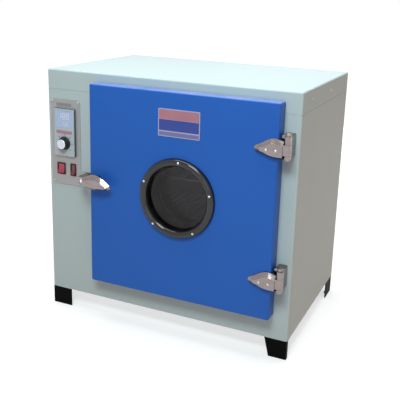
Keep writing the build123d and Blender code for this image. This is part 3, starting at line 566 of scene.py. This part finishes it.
def thinPlate(name, outlines, backY, thickness, bevel, material, body):
    # the first outline is the edge, the others are holes
    curve = bpy.data.curves.new(name, "CURVE")
    curve.dimensions = "2D"
    curve.fill_mode = "BOTH"
    for outline in outlines:
        spline = curve.splines.new("POLY")
        spline.points.add(len(outline) - 1)
        for point, (x, z) in zip(spline.points, outline):
            point.co = (x * mm, z * mm, 0, 1)
        spline.use_cyclic_u = True
    curve.extrude = (thickness / 2 - bevel) * mm
    curve.bevel_depth = bevel * mm
    curve.bevel_resolution = 1
    curve.offset = -bevel * mm
    holder = bpy.data.objects.new(name, curve)
    scene.collection.objects.link(holder)
    bpy.context.view_layer.update()
    shaped = holder.evaluated_get(bpy.context.evaluated_depsgraph_get())
    mesh = bpy.data.meshes.new_from_object(shaped)
    bpy.data.objects.remove(holder)
    # curve Y becomes Z, curve Z becomes -Y
    stand = Matrix.Rotation(math.radians(90), 4, "X")
    mesh.transform(Matrix.Translation((0, (backY - thickness / 2) * mm, 0)) @ stand)
    addPiece(name, mesh, material, body)


# corners of a raised block: across its face, and the faces that show
blockCorners = ((-1, -1), (1, -1), (1, 1), (-1, 1))
blockFaces = ((0, 1, 2, 3), (7, 6, 5, 4), (0, 4, 5, 1), (1, 5, 6, 2), (2, 6, 7, 3), (3, 7, 4, 0))
markSink = 0.02            # how far marks reach into the face below them


def markPiece(name, bars, frontY, height, material, body):
    # bars: centre x and z, length, width, turn in degrees; one raised block for each
    form = bmesh.new()
    for x, z, length, width, turn in bars:
        a = math.radians(turn)
        along = Vector((math.cos(a), 0, math.sin(a)))
        across = Vector((-math.sin(a), 0, math.cos(a)))
        corners = []
        for y in (frontY + markSink, frontY - height):
            for u, v in blockCorners:
                spot = Vector((x, y, z)) + along * (u * length / 2) + across * (v * width / 2)
                corners.append(form.verts.new(spot * mm))
        for face in blockFaces:
            form.faces.new([corners[i] for i in face])
    bmesh.ops.recalc_face_normals(form, faces=form.faces)
    mesh = bpy.data.meshes.new(name)
    form.to_mesh(mesh)
    form.free()
    addPiece(name, mesh, material, body)


inlaySettings = dict(bezelSettings, coat=0.0, bump=0.02, wear=0.0, specular=0.15)
inlayColours = {
    # dark, light, roughness
    "bandRose": ((0.400, 0.180, 0.230), (0.475, 0.230, 0.270), (0.30, 0.38)),
    "bandBlue": ((0.045, 0.072, 0.310), (0.062, 0.092, 0.370), (0.26, 0.34)),
    "bandPale": ((0.155, 0.165, 0.370), (0.205, 0.210, 0.430), (0.30, 0.38)),
    "stripGrey": ((0.26, 0.26, 0.28), (0.30, 0.30, 0.32), (0.35, 0.45)),
    "stripRose": ((0.44, 0.22, 0.29), (0.50, 0.26, 0.33), (0.32, 0.40)),
    "faceGrey": ((0.45, 0.52, 0.55), (0.50, 0.57, 0.60), (0.34, 0.42)),
    "inkDark": ((0.02, 0.025, 0.03), (0.03, 0.035, 0.04), (0.5, 0.6)),
    "digitPale": ((0.74, 0.68, 0.88), (0.82, 0.76, 0.95), (0.2, 0.3)),
}
inlays = {}
for inlayName, (darkTone, lightTone, roughRange) in inlayColours.items():
    inlays[inlayName] = plastic(inlayName, dict(
        inlaySettings, dark=darkTone, light=lightTone, worn=lightTone, roughness=roughRange))


badgeInlaySettings = {
    "back": -268.2, "thickness": 0.4, "bevel": 0.1, "corner": 1.6,
    # name, x from and to, z from and to, finish
    "bands": [("badgeBandTop", 7.5, 126.5, 651.0, 677.0, "bandRose"),
              ("badgeBandMiddle", 7.5, 126.5, 620.0, 650.0, "bandBlue"),
              ("badgeBandFoot", 7.5, 126.5, 606.0, 616.5, "bandPale")],
}


def makeBadge(settings):
    for name, x0, x1, z0, z1, finish in settings["bands"]:
        thinPlate(name, [cornerPoints(x0, x1, z0, z1, settings["corner"])], settings["back"],
                  settings["thickness"], settings["bevel"], inlays[finish], "door")


controllerSettings = {
    # a box is x from and to, z from and to, then its corner radius
    "face": (-363.0, -293.0, 494.0, 636.0, 2.0),
    "faceBack": -232.0, "faceThickness": 0.5, "faceBevel": 0.12,
    "window": (-360.0, -300.0, 579.0, 631.0, 0.6),
    "knob": (-327.5, 533.0), "knobHole": 20.4,
    "strip": (-356.0, -300.0, 562.0, 571.0, 0.8), "stripThickness": 0.3, "stripBevel": 0.05,
    "header": (-359.0, -307.0, 643.0, 652.0, 1.5),
    "headerBack": -224.0, "headerThickness": 0.4, "headerBevel": 0.08,
}


def makeControllerFace(settings):
    holes = [cornerPoints(*settings["window"]),
             circlePoints(*settings["knob"], settings["knobHole"])]
    thinPlate("controllerFace", [cornerPoints(*settings["face"])] + holes,
              settings["faceBack"], settings["faceThickness"], settings["faceBevel"],
              inlays["faceGrey"], "cabinet")
    stripBack = settings["faceBack"] - settings["faceThickness"] + markSink
    thinPlate("controllerStrip", [cornerPoints(*settings["strip"])], stripBack,
              settings["stripThickness"], settings["stripBevel"], inlays["stripRose"],
              "cabinet")
    thinPlate("plateHeader", [cornerPoints(*settings["header"])], settings["headerBack"],
              settings["headerThickness"], settings["headerBevel"], inlays["stripGrey"],
              "cabinet")


# segments of a digit in units of its width: centre x, centre z, turn in degrees
segmentPlaces = {
    "a": (0, 1, 0), "b": (0.5, 0.5, 90), "c": (0.5, -0.5, 90), "d": (0, -1, 0),
    "e": (-0.5, -0.5, 90), "f": (-0.5, 0.5, 90), "g": (0, 0, 0),
}
digitSegments = {
    "0": "abcdef", "1": "bc", "2": "abged", "3": "abgcd", "4": "fgbc", "5": "afgcd",
    "6": "afgedc", "7": "abc", "8": "abcdefg", "9": "abcdfg",
}
segmentFill = 0.86         # length of a segment in widths of the digit


def numberBars(text, x, z, width, stroke, gap):
    # seven-segment numbers, centred on x and z
    bars = []
    first = x - (len(text) - 1) * (width + gap) / 2
    for k, digit in enumerate(text):
        middle = first + k * (width + gap)
        for segment in digitSegments[digit]:
            dx, dz, turn = segmentPlaces[segment]
            bars.append((middle + dx * width, z + dz * width, width * segmentFill, stroke,
                         turn))
    return bars


dialSettings = {
    "front": controllerSettings["faceBack"] - controllerSettings["faceThickness"],
    "height": 0.12,
    "start": 225.0, "sweep": 270.0,                  # degrees, clockwise from the lower left
    "ticks": 24, "longEvery": 4, "longExtra": 1.2,
    "inner": 21.0, "outer": 22.8, "tickWidths": (0.38, 0.6),
    "numbers": ["0", "50", "100", "150", "200", "250", "300"],
    "numberRadius": 27.0, "numberStyle": (1.05, 0.34, 0.75),      # width, stroke, gap
}


def makeDialTicks(settings, knob):
    bars = []

    def around(radius, turn):
        return (knob[0] + radius * math.cos(math.radians(turn)),
                knob[1] + radius * math.sin(math.radians(turn)))

    for k in range(settings["ticks"] + 1):
        isLong = k % settings["longEvery"] == 0
        turn = settings["start"] - settings["sweep"] * k / settings["ticks"]
        outer = settings["outer"] + settings["longExtra"] * isLong
        bars.append((*around((settings["inner"] + outer) / 2, turn), outer - settings["inner"],
                     settings["tickWidths"][isLong], turn))
    for k, number in enumerate(settings["numbers"]):
        turn = settings["start"] - settings["sweep"] * k / (len(settings["numbers"]) - 1)
        bars += numberBars(number, *around(settings["numberRadius"], turn),
                           *settings["numberStyle"])
    markPiece("dialTicks", bars, settings["front"], settings["height"], inlays["inkDark"],
              "cabinet")


displayInlaySettings = {
    "front": -231.8, "height": 0.12,
    # digits, centre x and z, width, stroke, gap
    "rows": [("188", -330.0, 614.0, 8.6, 2.0, 5.0), ("150", -327.0, 591.5, 5.2, 1.3, 3.2)],
}


def makeDisplayDigits(settings):
    bars = []
    for row in settings["rows"]:
        bars += numberBars(*row)
    markPiece("displayDigits", bars, settings["front"], settings["height"],
              inlays["digitPale"], "cabinet")


makeBadge(badgeInlaySettings)
makeControllerFace(controllerSettings)
makeDialTicks(dialSettings, controllerSettings["knob"])
makeDisplayDigits(displayInlaySettings)
print("inlays made")


# plain pale studio

studioSettings = {
    "ambient": 0.14,                                 # world strength on the object
    "ambientColour": (0.95, 0.98, 1.0),
    "backdrop": (1.0, 1.0, 1.0),
    "floorHalf": 9.0, "floorCells": 8, "floorDrop": 0.0005, "floorRoughness": 0.9,
    "floorBounce": (0.60, 0.45, 0.38),               # what it throws on the object
    "floorSeen": (0.52, 0.52, 0.52),
    "floorLift": (0.58, 0.96),                       # by the object, far away
    "liftReach": (0.7, 2.4),                         # metres from the object
}
# place, aimed at, size, power, colour
lampSettings = {
    "overheadLamp": ((0, 0.05, 2.9), (0, 0.05, 0.4), (2.4, 2.0), 70.0, (1.0, 0.985, 0.99)),
    "frontLamp": ((0.45, -1.9, 2.2), (0, 0, 0.5), (1.0, 0.6), 35.0, (0.85, 0.98, 1.0)),
    "fillLamp": ((0.9, -3.1, 1.0), (0, -0.2, 0.4), (1.5, 1.2), 9.0, (0.88, 0.97, 1.0)),
    "sideLamp": ((3.0, 0.6, 0.45), (0, 0, 0.2), (1.4, 0.9), 9.0, (1.0, 0.50, 0.30)),
    "rearLamp": ((-0.4, 3.1, 0.62), (0, 0.2, 0.35), (1.5, 0.8), 14.0, (0.95, 0.98, 1.0)),
    "leftLamp": ((-3.0, 0.4, 0.62), (0, 0, 0.35), (1.4, 0.8), 9.0, (0.95, 0.98, 1.0)),
}


def seenDirectly(tree):
    # 1 for what the camera sees itself, in metal or through glass
    path = addNode(tree, "ShaderNodeLightPath")
    mirrored = mathNode(tree, "MAXIMUM", path.outputs["Is Glossy Ray"],
                        path.outputs["Is Transmission Ray"])
    return mathNode(tree, "MAXIMUM", path.outputs["Is Camera Ray"], mirrored)


def makeWorld(settings):
    world = bpy.data.worlds.new("studioWorld")
    scene.world = world
    world.use_nodes = True
    tree = world.node_tree
    background = tree.nodes["Background"]
    setInputs(background, Color=(*settings["ambientColour"], 1), Strength=settings["ambient"])
    backdrop = addNode(tree, "ShaderNodeBackground")
    setInputs(backdrop, Color=(*settings["backdrop"], 1))
    mix = addNode(tree, "ShaderNodeMixShader")
    link(tree, seenDirectly(tree), mix.inputs[0])
    link(tree, background.outputs[0], mix.inputs[1])
    link(tree, backdrop.outputs[0], mix.inputs[2])
    link(tree, mix.outputs[0], tree.nodes["World Output"].inputs["Surface"])


def makeFloor(settings):
    mesh = bpy.data.meshes.new("studioFloor")
    form = bmesh.new()
    bmesh.ops.create_grid(form, x_segments=settings["floorCells"],
                          y_segments=settings["floorCells"], size=settings["floorHalf"])
    form.to_mesh(mesh)
    form.free()
    floor = bpy.data.objects.new("studioFloor", mesh)
    floor.location = (0, 0, -settings["floorDrop"])
    scene.collection.objects.link(floor)
    material, tree, shader = newMaterial("floorWhite")
    seen = seenDirectly(tree)
    # what it throws on the object is a warm grey, what is seen of it is white
    shown = mixColour(tree, seen, settings["floorBounce"], settings["floorSeen"])
    link(tree, shown, shader.inputs["Base Color"])
    setInputs(shader, Roughness=settings["floorRoughness"])
    # its white holds out to the horizon, past the reach of the lamps
    away = addNode(tree, "ShaderNodeVectorMath", operation="LENGTH")
    link(tree, objectPlace(tree), away.inputs[0])
    spread = addNode(tree, "ShaderNodeMapRange")
    (near, far), (start, end) = settings["floorLift"], settings["liftReach"]
    setInputs(spread, From_Min=start, From_Max=end, To_Min=near, To_Max=far)
    link(tree, away.outputs["Value"], spread.inputs["Value"])
    lift = addNode(tree, "ShaderNodeEmission")
    setInputs(lift, Color=(*settings["backdrop"], 1))
    strength = mathNode(tree, "MULTIPLY", seen, spread.outputs["Result"])
    link(tree, strength, lift.inputs["Strength"])
    both = addNode(tree, "ShaderNodeAddShader")
    link(tree, shader.outputs[0], both.inputs[0])
    link(tree, lift.outputs[0], both.inputs[1])
    link(tree, both.outputs[0], tree.nodes["Material Output"].inputs["Surface"])
    mesh.materials.append(material)


def addLamp(name, place, target, size, power, colour):
    data = bpy.data.lights.new(name, "AREA")
    data.shape = "RECTANGLE"
    data.size, data.size_y = size
    data.energy = power
    data.color = colour
    lamp = bpy.data.objects.new(name, data)
    lamp.location = place
    aim = Vector(target) - Vector(place)
    lamp.rotation_euler = aim.to_track_quat("-Z", "Y").to_euler()
    scene.collection.objects.link(lamp)


makeWorld(studioSettings)
makeFloor(studioSettings)
for lampName, lampValues in lampSettings.items():
    addLamp(lampName, *lampValues)
scene.view_settings.view_transform = "Standard"
print("studio set")
